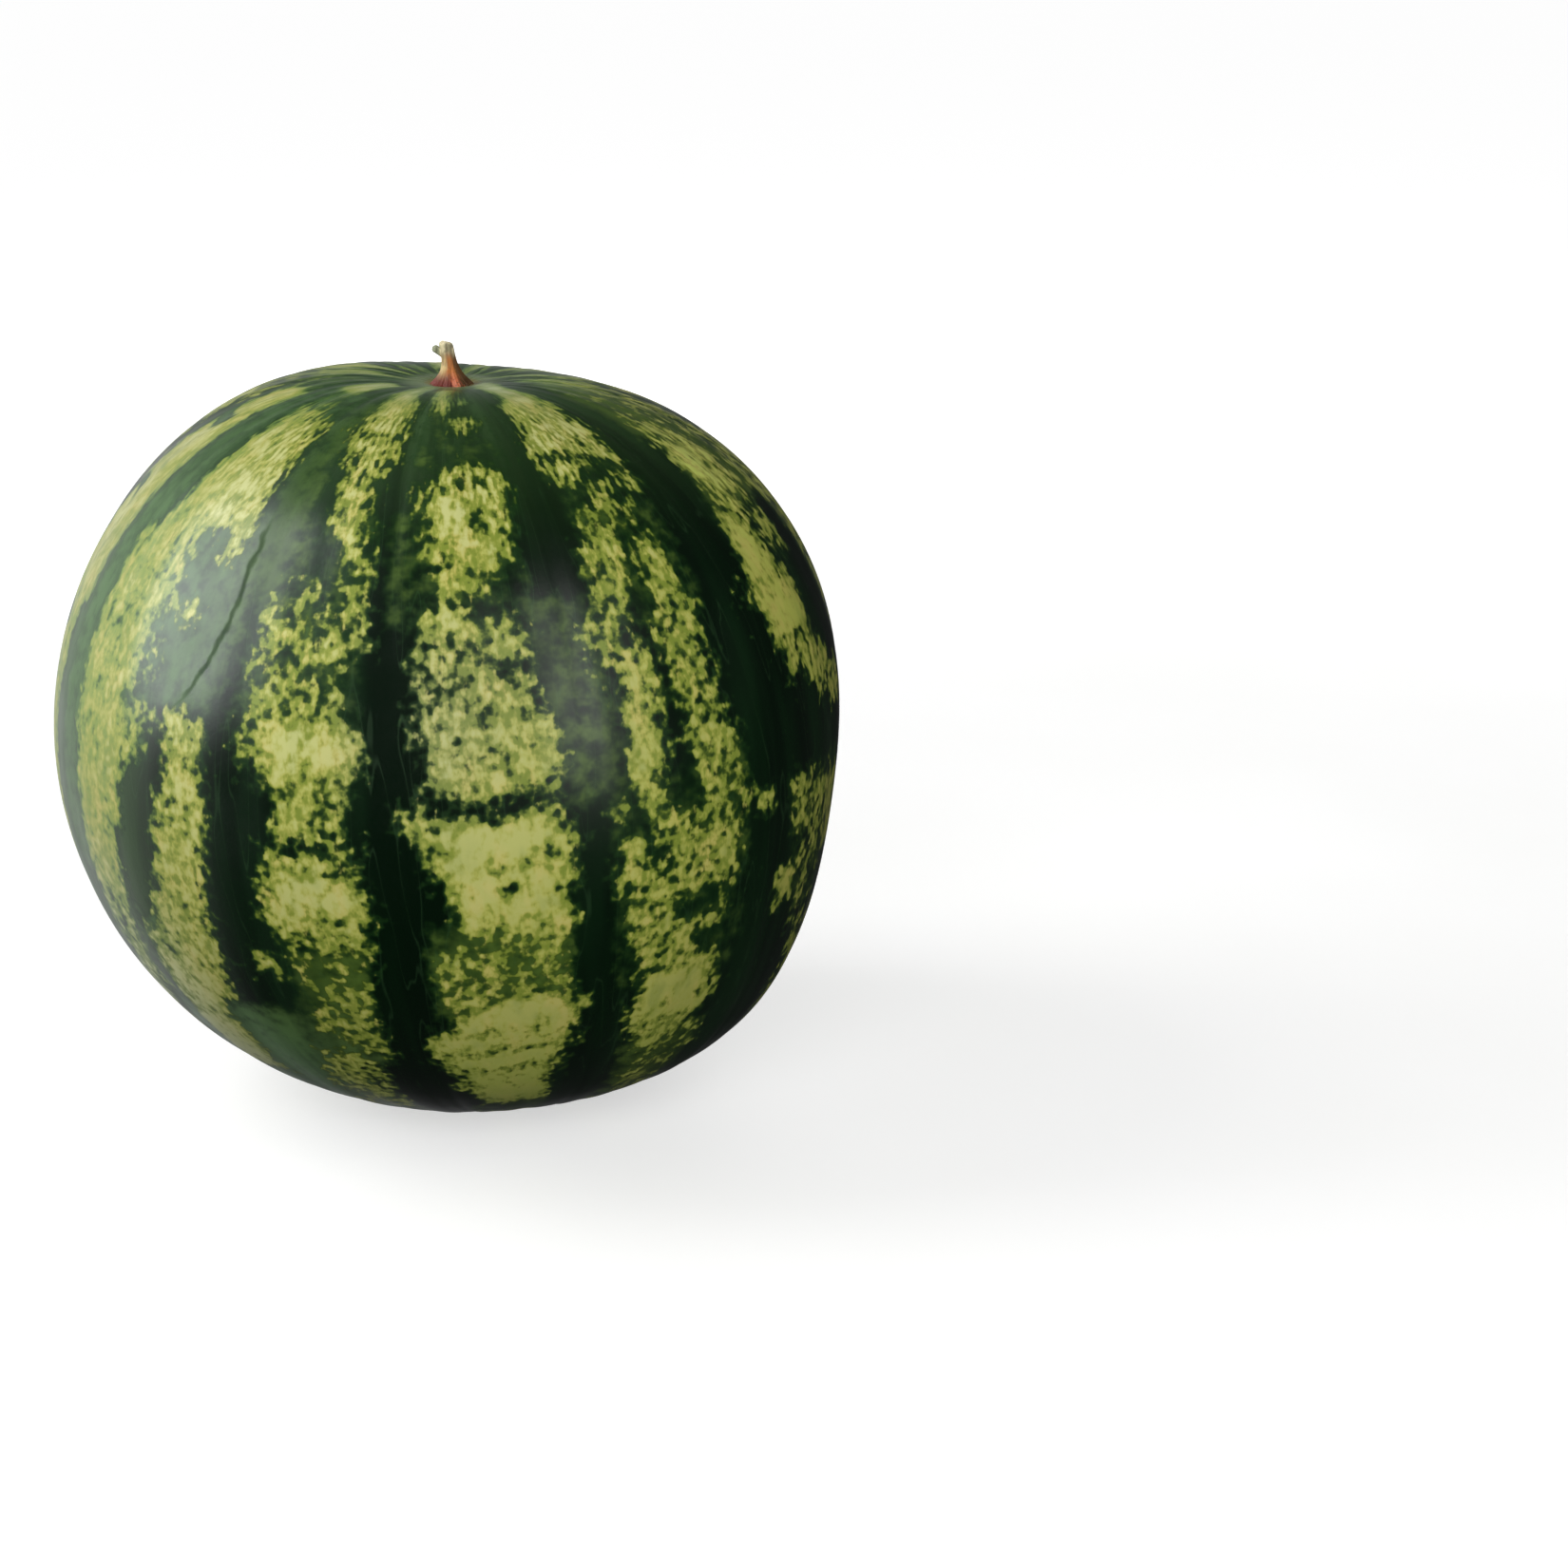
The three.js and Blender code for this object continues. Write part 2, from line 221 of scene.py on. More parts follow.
# %% Patches that face the viewer
# Each is its top, its bottom, left and right at the top, left and right at the bottom, strength.
SOLID = 12.0
FIRM = 3.8
SPECKLED = 1.2
BROKEN = -1.2
FAINT = -3.0
PATCHES = (
    # the stripe that faces the viewer
    (8, 15, -13, -2, -11, -3, SOLID),
    (14, 21.5, -12, -3, -7, -1, SOLID),
    (9, 18, 0, 4, 0, 4, BROKEN),
    (23, 27, 0, 7, 0, 7, 1.6),
    (35.5, 39, -4, 0, -4, 0, FIRM),
    (35, 40, 0, 9, 0, 9, FIRM),
    (38, 50, -8, 8, -8, 8, FIRM),
    (40, 48.5, -4, 3, -4, 3, SOLID),
    (49, 55, -5, 5, -5, 5, SPECKLED),
    (56, 60, -6, 0, -6, 0, SPECKLED),
    (58, 72, -8, 8, -8, 8, 1.8),
    (70, 79.5, -7, 10, -7, 10, 4.0),
    (80.5, 84, -10.5, -7.5, -10.5, -7.5, FIRM),
    (82, 90, -6, 10, -7, 10, SOLID),
    (83, 88, -8.5, 0, -8, 0, SOLID),
    (88, 98, -6.5, 10, -4, 9.5, SOLID),
    (96, 100.5, -4, 9.5, -4, 8.5, FIRM),
    (102, 113, -7.5, 0, -7.5, 0, SPECKLED),
    (100, 104.5, 4.5, 9, 4.5, 9, SPECKLED),
    (104, 110, -1, 9, 0, 9, BROKEN),
    (109, 117, -4, 10, -9, 11, SOLID),
    (111.5, 117, 0, 12.5, 0, 11.5, SOLID),
    (115, 121, -10, 10, -12, 11.5, SOLID),
    (120, 126, -10.5, 9.5, -8.5, 8, SOLID),
    (125, 140, -9, 8, -6, 8, SOLID),
    # the next one to the left
    (5, 10, -50, -24, -38, -20, SPECKLED),
    (9, 14, -37, -22, -35, -20, 6.0),
    (13, 20, -35, -20.5, -31, -16, 6.0),
    (18, 28, -31, -15.5, -31, -15, 6.0),
    (28, 34, -31, -14.5, -27, -16, FIRM),
    (33, 49.5, -27, -17.5, -20.5, -17.5, FIRM),
    (49, 61, -19, -15, -20, -15, SPECKLED),
    (53, 58, -29, -20, -29, -20, BROKEN),
    (57, 76, -31, -18, -31, -18.5, SPECKLED),
    (70, 77, -29, -16, -28.5, -16, SOLID),
    (76, 84.5, -28, -17, -26, -18.5, FIRM),
    (86, 89, -28, -17, -29, -17, 6.0),
    (88, 96, -29.5, -16.5, -30, -16, SOLID),
    (95, 100.5, -30, -16, -28, -17, FIRM),
    (100, 120, -26.5, -18.5, -26.5, -18.5, BROKEN),
    (106, 119, -24, -19, -24, -19, SPECKLED),
    (119, 130, -30, -21, -33, -22, SPECKLED),
    (129, 142, -33, -22, -35, -22, SPECKLED),
    (101.5, 104.5, -33.3, -29.5, -33.3, -29.5, SOLID),
    # the third to the left, with the broad pale field over it
    (9, 17.5, -74, -52, -68, -51, 6.0),
    (17, 25, -62, -53, -60, -50, BROKEN),
    (24, 30, -59, -45, -59, -40, SPECKLED),
    (27, 47, -59, -39.5, -60, -38, 6.0),
    (45, 51.5, -43.5, -38, -43, -39, SPECKLED),
    (51, 57, -53, -48, -53, -48, SPECKLED),
    (56.5, 60, -48, -42.5, -48, -43, BROKEN),
    (45, 51, -60, -49, -62, -49, 4.0),
    (49, 76, -65, -49, -65, -52, 4.0),
    (50, 72, -53, -47, -53, -47, FAINT),
    (70, 77, -55, -47, -55, -47, SPECKLED),
    (75, 87, -64, -52, -64, -53, FIRM),
    (85, 97, -64, -54.5, -64, -55, FIRM),
    (95, 113, -64, -56, -65, -57, SPECKLED),
    (112, 150, -72, -60, -76, -62, FIRM),
    (70.5, 82, -43.5, -37.5, -43.5, -37, 6.0),
    (81, 96, -45, -37.5, -48, -38.5, 6.0),
    (94, 111, -49, -38.5, -49.5, -40, 6.0),
    (100, 113, -53, -48, -54, -48, SPECKLED),
    (104, 130, -52, -43, -56, -43, 7.0),
    # the fourth to the left, at the edge of what the viewer sees
    (10, 22, -92, -80, -90, -76, BROKEN),
    (21, 62, -90, -73.5, -88, -73, 7.0),
    (60, 98, -88, -76, -88, -75, FIRM),
    (100, 146, -92, -80, -90, -78, FIRM),
    # the first to the right, split in two down its middle
    (4, 8, 40, 85, 28, 62, 6.0),
    (7, 12, 26, 60, 25, 43, SOLID),
    (11, 16, 26, 43, 25, 43, SOLID),
    (15, 21, 24.5, 43, 20, 42, SOLID),
    (20, 34, 19, 41.5, 19, 39.5, 6.0),
    (33, 36.5, 19.5, 39, 20, 39, SPECKLED),
    (36, 39, 20, 27, 20, 26, SPECKLED),
    (38.5, 41.5, 35.5, 39, 35.5, 39, FIRM),
    (43.3, 45.7, 23, 26, 23, 26, FIRM),
    (40, 45, 27, 31, 27, 31, BROKEN),
    (46.5, 55, 21, 26.5, 19, 26.5, FIRM),
    (54, 66, 19.5, 24.5, 19.5, 24.5, SPECKLED),
    (65, 84, 19, 25.5, 20, 24, FIRM),
    (60, 67, 15.5, 18.5, 15.5, 18.5, SPECKLED),
    (83, 86, 16.5, 18.5, 16.5, 18.5, FIRM),
    (44, 51, 28, 33, 28, 33, FAINT),
    (50, 62, 28.5, 34, 28.5, 36, SPECKLED),
    (61, 78, 27.5, 36, 29, 35.5, SPECKLED),
    (77, 87, 29.5, 37, 30, 38, SPECKLED),
    (86, 90.5, 22, 35, 22, 35, SPECKLED),
    (88.5, 95, 16.5, 21, 17, 21, FIRM),
    (92, 101, 18.5, 24.5, 18.5, 25, FIRM),
    (89.5, 98, 25, 37, 25, 36, FIRM),
    (99.5, 104.5, 30, 35, 30, 34.5, FIRM),
    (98.5, 104, 19, 25.5, 19.5, 26, FIRM),
    (102.5, 111, 19.5, 28.5, 20.5, 29, FIRM),
    (109.5, 118, 21, 34, 20, 35.5, SOLID),
    (116, 121.5, 19.5, 35.5, 20, 34, SOLID),
    (120, 128, 20.5, 33, 23.5, 30, FIRM),
    (123.5, 130.5, 30, 34, 33, 38, SPECKLED),
    (131, 144, 24, 33, 25, 35, SPECKLED),
    # the second to the right
    (12, 31, 61, 78, 58, 76, BROKEN),
    (31, 37, 59, 72, 57, 72, FIRM),
    (36, 47, 55, 73, 55, 73, 6.0),
    (34, 47, 58, 65, 57, 66, SOLID),
    (46, 50, 57, 66, 57, 62, FIRM),
    (49, 61, 52.5, 58.5, 49.5, 63, SOLID),
    (60, 69, 49.5, 64.5, 51.5, 63, SOLID),
    (68, 73, 51.5, 62.5, 52.5, 57, FIRM),
    (70.5, 74, 57.5, 62, 58, 62, FIRM),
    (49, 57, 63, 69, 64, 69, SPECKLED),
    (60.2, 61.2, 45, 48, 45, 48, BROKEN),
    (71, 78, 56, 66, 60, 72, FIRM),
    (76, 82, 64, 74, 66, 76, FIRM),
    (87, 90, 40, 44, 40, 44, FIRM),
    (88, 98, 49, 56, 50, 58, SPECKLED),
    (100.5, 107.5, 46, 51, 46.5, 51, SOLID),
    (90, 99, 56, 65, 57, 65, SPECKLED),
    (92, 104, 60.5, 71, 62, 72, FIRM),
    (100, 113, 52, 61, 53, 62, BROKEN),
    (114, 148, 56, 68, 55, 66, SPECKLED),
)

# %% Dark holes in those patches, in the same form
HOLES = (
    (35.5, 39, 2, 5, 2, 5, FIRM),
    (97, 103, 29.5, 33, 29.5, 33, FIRM),
    (98.5, 102, 25, 31, 25, 31, FIRM),
    (87.8, 90.4, 3.8, 5.6, 3.8, 5.6, FIRM),
    (91.4, 93.6, 0.8, 3.6, 1.2, 3.2, FIRM),
    (86.6, 88.4, 6.4, 8.0, 6.4, 8.0, FIRM),
    (97, 100, -1, 1, -1, 1, FIRM),
    (50, 64, 25.4, 27.8, 25.2, 27.6, 1.4),
    (31, 35, -96, -80, -98, -82, FIRM),
    (47, 50, -98, -83, -96, -81, FIRM),
    (66, 70, -96, -80, -98, -83, FIRM),
    (84, 87, -98, -82, -96, -80, FIRM),
)

# %% Patches where the stripe is only mid green, in the same form
GREEN_PATCHES = (
    (12, 34, -10, 6, -9, 3, BROKEN),
    (30, 60, -9, 9, -9, 9, BROKEN),
    (97, 112, -9, 10, -9, 10, FIRM),
    (14, 56, -42, -29, -34, -28, FIRM),
    (44, 72, -34, -16, -33, -16, BROKEN),
    (100, 122, -28, -17, -30, -19, FIRM),
    (112, 136, -43, -28, -43, -28, FIRM),
    (108, 134, -54, -42, -58, -42, FIRM),
    (8, 96, -73, -62, -70, -63, FIRM),
    (45, 78, -54, -47, -55, -48, SPECKLED),
    (98, 116, -58, -47, -60, -48, SPECKLED),
    (111, 120, -42, -31, -44, -28, FIRM),
    (117, 144, -60, -28, -60, -20, 6.0),
    (114, 122, -58, -50, -60, -48, FIRM),
    (140, 168, -62, -24, -54, -38, 4.0),
    (44, 70, -50, -30, -47, -36, FIRM),
    (16, 28, -62, -44, -62, -42, FIRM),
    (56, 82, 8, 17, 10, 19, SPECKLED),
    (36, 60, 19, 38, 20, 38, BROKEN),
    (80, 112, 16, 38, 17, 38, BROKEN),
    (124, 146, 20, 36, 22, 36, FIRM),
    (12, 49, 64, 88, 52, 78, SOLID),
    (18, 34, 54, 78, 52, 76, SOLID),
    (88, 110, 48, 70, 52, 70, BROKEN),
    (43, 58, -12.0, -10.4, -11.8, -10.4, FIRM),
)

# %% Patches round the far side and underneath, drawn at random in the same manner
FAR_STRIPES = (86, 110, 135, 161, 186, 211, 236, 256)
FAR_TOPS = (7, 12)
FAR_WIDTH = 7.4
LOW_STRIPES = (-84, -68, -50, -29, -1, 29, 61)
LOW_TOPS = (146, 150)
LOW_WIDTH = 8.5
LAST_POLAR = 172
LEAST_LENGTH = 6
PATCH_LENGTHS = (7, 20)
PATCH_GAPS = (-3, 3)
PATCH_SHIFTS = (-2, 2)
PATCH_WIDTHS = (0.54, 1)  # shares of the stripe's own width
SIDE_PLACES = (0.5, 1)  # shares of it too
SIDE_LENGTHS = (4, 12)
SIDE_SLANTS = (-3, 3)
SIDE_STRENGTHS = (0, 7)
SIDE_LEFT = 2
SIDE_RIGHT = 2.5
rng = np.random.default_rng(31)


def drawn_patches(middle, top, widest):
    """Patches down one stripe: random lengths, widths, slants and strengths, small gaps, and
    smaller pieces that stick out of both sides. The strength of a large one is the square of
    a random number, so that weak ones are common."""
    patches = []
    while top < LAST_POLAR - LEAST_LENGTH:
        length = min(rng.uniform(*PATCH_LENGTHS), LAST_POLAR - top)
        shift = rng.uniform(*PATCH_SHIFTS, 2)
        half = rng.uniform(*PATCH_WIDTHS, 2) * widest
        left, right = middle + shift - half, middle + shift + half
        strength = rng.uniform(0.3, 3) ** 2
        patches.append((top, top + length, left[0], right[0], left[1], right[1], strength))
        for side in (-1, 1):
            start = top + rng.uniform(-3, max(length - 4, 0))
            inner = middle + side * rng.uniform(*SIDE_PLACES) * widest
            slant = rng.uniform(*SIDE_SLANTS)
            edges = np.array([-SIDE_LEFT, SIDE_RIGHT, slant - SIDE_LEFT, slant + SIDE_RIGHT]) + inner
            end = start + rng.uniform(*SIDE_LENGTHS)
            patches.append((start, end, *edges, rng.uniform(*SIDE_STRENGTHS)))
        top += length + rng.uniform(*PATCH_GAPS)
    return patches


for far in FAR_STRIPES:
    PATCHES += tuple(drawn_patches(far, rng.uniform(*FAR_TOPS), FAR_WIDTH))
    GREEN_PATCHES += ((6, 170, far - 8, far + 8, far - 9, far + 9, BROKEN),)
for low in LOW_STRIPES:
    PATCHES += tuple(drawn_patches(low, rng.uniform(*LOW_TOPS), LOW_WIDTH))
    GREEN_PATCHES += ((140, LAST_POLAR, low - 9, low + 9, low - 9, low + 9, SPECKLED),)
print("patches:", len(PATCHES))

# %% How deep a place lies inside a patch
MILLIMETRES = 1000
SOFTEN = 1.6
CRISPNESS = 1.7
LEAST_SINE = 0.02
OUTSIDE = -30.0
LEAST_DEPTH = -12


def patch_depth(longitude, polar, patch):
    """Depth inside the nearest edge, negative outside: the softened least of the distances to
    the four edges in millimetres times the crispness, limited to the patch's strength."""
    top, bottom, left_top, right_top, left_low, right_low, strength = patch
    share = np.clip((polar - top) / (bottom - top), 0, 1)
    left = left_top + share * (left_low - left_top)
    right = right_top + share * (right_low - right_top)
    middle, half = (left + right) / 2, (right - left) / 2
    off = np.abs((longitude - middle + 180) % 360 - 180)
    degree = CRISPNESS * MILLIMETRES * math.radians(1) * GIRTH_RADIUS
    across = (half - off) * degree * np.maximum(np.sin(np.radians(polar)), LEAST_SINE)
    down = np.minimum(polar - top, bottom - polar) * degree
    edges = np.logaddexp(-across / SOFTEN, -down / SOFTEN)
    return -SOFTEN * np.logaddexp(edges, -strength / SOFTEN)


def field_depth(longitude, polar, patches):
    """The softened greatest of all patches' depths, so that patches that meet flow together."""
    depth = np.full(longitude.shape, OUTSIDE)
    for patch in patches:
        inside = patch_depth(longitude, polar, patch)
        depth = SOFTEN * np.logaddexp(depth / SOFTEN, inside / SOFTEN)
    return np.clip(depth, LEAST_DEPTH, SOLID)


# %% The fields bend where they were drawn at random
WANDER_SIDE = (78, 92)
WANDER_LOW = (142, 158)


def ramp(value, low, high):
    """0 up to low, 1 from high on, and the share of the way between."""
    return np.clip((value - low) / (high - low), 0, 1)


def wandered(longitude, polar):
    """On the far side and underneath the fields wander by a few degrees, sideways and up and
    down, as sines of both angles, so that none is four-sided there."""
    share = np.maximum(ramp(np.abs(longitude), *WANDER_SIDE), ramp(polar, *WANDER_LOW))
    turn, down = np.radians(longitude), np.radians(polar)
    sideways = 1.7 * np.sin(6.3 * down + 3 * turn) + 1.1 * np.sin(16 * down - 5 * turn + 1)
    endways = 3.4 * np.sin(13 * turn + 2 * down) + 2.4 * np.sin(31 * turn - 5 * down + 2)
    return longitude + share * sideways, polar + share * endways


# %% The depths on the skin's vertices
TRIM = 0.7
HOLE_RIM = 1
HOLE_CRISPNESS = 2.5
POLE_DEPTH = -4


def on_vertices(grid, first, last):
    """A grid's values in the order of the skin's vertices, with one value for each pole."""
    return np.concatenate([[first], grid.ravel(), [last]])


bent_grids = wandered(longitude_grid, polar_grid)
pale_grid = field_depth(*bent_grids, PATCHES) - TRIM
hole_grid = field_depth(*bent_grids, HOLES)
pale_grid = np.minimum(pale_grid, HOLE_RIM - HOLE_CRISPNESS * hole_grid)
green_grid = field_depth(*bent_grids, GREEN_PATCHES)
add_attribute(skin, "pale_depth", on_vertices(pale_grid, POLE_DEPTH, POLE_DEPTH))
add_attribute(skin, "green_depth", on_vertices(green_grid, 0, 0))
print("pale share:", round(float((pale_grid > 0).mean()), 2))

# %% [markdown]
# ## Directions for streaks
#
# Veins and streaks in the rind run along the meridians. A noise texture has no direction of
# its own, so it reads a vector that changes fast round the fruit and slowly down it. Cosine
# and sine of the longitude close the pattern on itself, with no seam at the back.

# %% Vectors along the meridians, and where on the fruit a vertex is
STREAK_STRETCH = 0.12
SEEN_FRONT = (-0.3, 0.1)  # cosine of the longitude
SEEN_LOW = (140, 172)
turn = np.radians(longitude_grid)
streak = np.stack(
    [
        GIRTH_RADIUS * np.cos(turn),
        GIRTH_RADIUS * np.sin(turn),
        GIRTH_RADIUS * np.radians(polar_grid) * STREAK_STRETCH,
    ],
    -1,
)
at_stem, at_scar = streak[[0, -1], 0]
add_attribute(skin, "streak", np.vstack([at_stem, streak.reshape(-1, 3), at_scar]))
add_attribute(skin, "polar", on_vertices(polar_grid, 0, 180))
add_attribute(skin, "longitude", on_vertices(longitude_grid, 0, 0))
# Leftness is 1 at the left, -1 at the right, and dies away at the back and underneath. The
# rind's shader places its painted sheen and painted window light by it.
seen = ramp(np.cos(turn), *SEEN_FRONT) * (1 - ramp(polar_grid, *SEEN_LOW))
add_attribute(skin, "leftness", on_vertices(-np.sin(turn) * seen, 0, 0))
add_attribute(skin, "frontness", on_vertices(np.cos(turn), 0, 0))
print("attributes:", [layer.name for layer in skin.data.attributes if not layer.is_internal])


# %% Short words for shader nodes
def srgb(red, green, blue):
    """A colour written as on a screen, 0 to 255, made linear: divide, then raise to 2.2."""
    return (*((np.array([red, green, blue]) / 255) ** 2.2).tolist(), 1)


def new_material(name):
    material = bpy.data.materials.new(name)
    material.use_nodes = True
    return material, material.node_tree


def node(tree, kind, inputs=None, **settings):
    """Adds a node, sets its options, then links or fills the inputs that are named."""
    made = tree.nodes.new(kind)
    for key, value in settings.items():
        setattr(made, key, value)
    for key, value in (inputs or {}).items():
        if isinstance(value, bpy.types.NodeSocket):
            tree.links.new(value, made.inputs[key])
        else:
            made.inputs[key].default_value = value
    return made


def noise(tree, place, scale, detail=2.0, rough=0.5):
    inputs = {"Vector": place, "Scale": scale, "Detail": detail, "Roughness": rough}
    return node(tree, "ShaderNodeTexNoise", inputs).outputs[0]


def calc(tree, operation, first, second=0.0, third=0.0):
    inputs = {0: first, 1: second, 2: third}
    return node(tree, "ShaderNodeMath", inputs, operation=operation).outputs[0]


def times(tree, first, second):
    return calc(tree, "MULTIPLY", first, second)


def centred(tree, place, scale, detail=2.0, rough=0.5):
    """Noise that goes as far below zero as above it."""
    return calc(tree, "SUBTRACT", noise(tree, place, scale, detail, rough), 0.5)


def spread(tree, value, low, high, to_low=0.0, to_high=1.0, kind="SMOOTHSTEP"):
    """Takes low to to_low and high to to_high, and stays there, with soft ends unless told."""
    inputs = {0: value, 1: low, 2: high, 3: to_low, 4: to_high}
    made = node(tree, "ShaderNodeMapRange", inputs, interpolation_type=kind)
    return made.outputs[0]


def blend(tree, share, first, second):
    """The first colour where share is 0, the second where it is 1."""
    made = node(tree, "ShaderNodeMix", {0: share, 6: first, 7: second}, data_type="RGBA")
    return made.outputs[2]


def attribute(tree, name):
    return node(tree, "ShaderNodeAttribute", attribute_name=name)


def place_of(tree):
    return node(tree, "ShaderNodeTexCoord").outputs["Object"]


# %% [markdown]
# ## The rind
#
# The rind is waxy, smooth and a little uneven. Its colour has three layers: dark green with
# clouds of mid green, thin veins along the meridians, and the pale patches. The edge of a
# patch is ragged at three sizes, about 9, 3 and 1.6 mm, so three noises push the depth up or
# down before it is cut off, and on the far side a fourth adds dents of about 2 cm. Where the
# depth is small the finer noises decide alone, and that makes the dark specks. The left is
# painted paler and bluer and the shoulder bluer, a painted sheen where daylight grazes and is
# mirrored in the wax. The pale is cream at the left and lime at the right, a painted tint of
# cool window light from the left. A thin healed crease runs down the upper left. A painted
# image could hold all this, but noise stays sharp from close by.

# %% Colours of the rind
DEEP_GREEN = srgb(8, 23, 12)
DARK_GREEN = srgb(17, 39, 20)
HALO_GREEN = srgb(28, 52, 24)
MID_GREEN = srgb(76, 98, 42)
# The next two greens are painted sheen: bluer and paler where light is mirrored in the wax.
SHEEN_GREEN = srgb(74, 105, 60)
PALE_SHEEN_GREEN = srgb(108, 146, 98)
VEIN_GREEN = srgb(60, 92, 58)
RIM_GREEN = srgb(60, 78, 30)
SOFT_RIM = srgb(76, 104, 50)
OLIVE = srgb(116, 130, 52)
SOFT_OLIVE = srgb(122, 142, 66)
KHAKI = srgb(158, 160, 76)
# Cream is the deep middle of a patch; at the left it is also a painted tint of cool window light, and
# lime takes its place at the right.
CREAM = srgb(184, 187, 124)
LIME = srgb(180, 192, 92)
LOW_OLIVE = srgb(164, 178, 80)
# A painted sheen: the pale made whitish low on the left, where light is mirrored in the wax.
PAINTED_SHEEN = srgb(202, 210, 158)
TAN = srgb(176, 166, 88)
WAX = srgb(168, 182, 136)
CALLUS = srgb(124, 140, 98)
RING_OLIVE = srgb(120, 108, 56)
SCAR_BROWN = srgb(120, 100, 66)

# %% The rind's noises: a scale, and how many millimetres the noise pushes the edges
BROAD_SCALE = 48
BROAD_PUSH = 24
EDGE_SCALE = 110
EDGE_PUSH = 18
SPECK_SCALE = 335
SPECK_PUSH = 25
DOT_SCALE = 620
DOT_PUSH = 7
GRAIN_SCALE = 420
GRAIN_PUSH = 22
SPECK_KIND = (0.6, 0.4)  # detail and roughness
SPECK_SHORTENING = 5.2

# %% Where one look passes into another
# By the angle from the stem, in degrees
RING_POLAR = (3.6, 4.7)
CALLUS_POLAR = (4.0, 9.0)
WAX_POLAR = (7.0, 21.0)
# The next span places the painted sheen on the shoulder.
SHOULDER_POLAR = (8, 56)
SOFT_RIM_POLAR = (10, 30)
CALM_POLAR = (10, 34)
SPECK_POLAR = (32, 66)
CREAM_POLAR = (40, 135)
BRIGHT_POLAR = (45, 62)
# The next two spans place the painted sheen low on the left.
LOW_SHEEN_POLAR = (90, 112)
LOW_GREEN_SHEEN_POLAR = (104, 128)
LOW_OLIVE_POLAR = (108, 135)
SCAR_POLAR = (177.2, 178.4)
# By leftness, and the last by frontness
# These place painted light by side: paler, bluer sheen and cream window light at the left, less cream
# and lime at the right. The calm only calms the noises.
LIME_LEFT = (-0.5, -0.85)
SHOULDER_LEFT = (-0.8, 0.4)
BRIGHT_LEFT = (-0.7, 0.7)
LOW_GREEN_SHEEN_LEFT = (0.2, 0.8)
MID_LEFT = (0.4, 0.75)
CREAM_LEFT = (0.55, 0.8)
CALM_LEFT = (0.62, 0.92)
SOFT_RIM_LEFT = (0.62, 0.9)
LOW_SHEEN_LEFT = (0.64, 0.88)
SHEEN_LEFT = (0.66, 0.9)
FAR_FRONT = (0.16, -0.2)
# By depth inside the patches, in millimetres
HALO_DEPTH = (-6.5, -2.5)
GREEN_HALO_DEPTH = (-5.0, 0.0)
RIM_DEPTH = (-3.0, -0.6)
GREEN_DEPTH = (-2.0, 6.0)
OLIVE_DEPTH = (-1.2, 1.6)
PALE_DEPTH = (0.0, 6.5)
CREAM_DEPTH = (3.0, 12.0)


# %% What the rind's shader reads
SHORT_NAMES = {
    "depth": "pale_depth",
    "green": "green_depth",
    "polar": "polar",
    "longitude": "longitude",
    "left": "leftness",
    "front": "frontness",
}


def rind_inputs(tree):
    """The mesh's own values by short names, the place, the direction along a meridian, and
    the same direction with shorter streaks."""
    at = {short: attribute(tree, name).outputs["Fac"] for short, name in SHORT_NAMES.items()}
    at["place"] = place_of(tree)
    at["along"] = attribute(tree, "streak").outputs["Vector"]
    stretch = {"Vector": at["along"], "Scale": (1, 1, SPECK_SHORTENING)}
    at["shorter"] = node(tree, "ShaderNodeMapping", stretch).outputs[0]
    return at


# %% Ragged edges and specks
def ragged_depth(tree, at):
    """The depth inside a patch plus the noises: ragged edges, specks that are long near the
    stem and rounder lower down, fine dots, and broad dents on the far side. All are calmer
    near the stem and at the left. Gives the depth and the calm."""
    edge = centred(tree, at["place"], EDGE_SCALE)
    round_speck = noise(tree, at["place"], SPECK_SCALE, *SPECK_KIND)
    long_speck = noise(tree, at["shorter"], SPECK_SCALE, *SPECK_KIND)
    length = spread(tree, at["polar"], *SPECK_POLAR, 0.9, 0.3)
    longer = calc(tree, "SUBTRACT", long_speck, round_speck)
    speck = calc(tree, "MULTIPLY_ADD", longer, length, round_speck)
    ragged = times(tree, calc(tree, "SUBTRACT", speck, 0.5), SPECK_PUSH)
    ragged = calc(tree, "MULTIPLY_ADD", edge, EDGE_PUSH, ragged)
    dots = centred(tree, at["place"], DOT_SCALE, 1.0)
    ragged = calc(tree, "MULTIPLY_ADD", dots, DOT_PUSH, ragged)
    broad = centred(tree, at["place"], BROAD_SCALE)
    broad = times(tree, broad, spread(tree, at["front"], *FAR_FRONT, 0.0, BROAD_PUSH))
    ragged = calc(tree, "ADD", ragged, broad)
    calm = spread(tree, at["polar"], *CALM_POLAR, 0.2, 1.0)
    calm = times(tree, calm, spread(tree, at["left"], *CALM_LEFT, 1.0, 0.55))
    return calc(tree, "MULTIPLY_ADD", ragged, calm, at["depth"]), calm


# %% The dark green layer
def mid_green(tree, at):
    """The green of the weak patches, bluer at the left and paler low down there: a painted
    sheen of light mirrored in the wax.
    """
    mid = blend(tree, spread(tree, at["left"], *MID_LEFT), MID_GREEN, SHEEN_GREEN)
    low = spread(tree, at["polar"], *LOW_GREEN_SHEEN_POLAR)
    low = times(tree, low, spread(tree, at["left"], *LOW_GREEN_SHEEN_LEFT))
    return blend(tree, low, mid, PALE_SHEEN_GREEN)


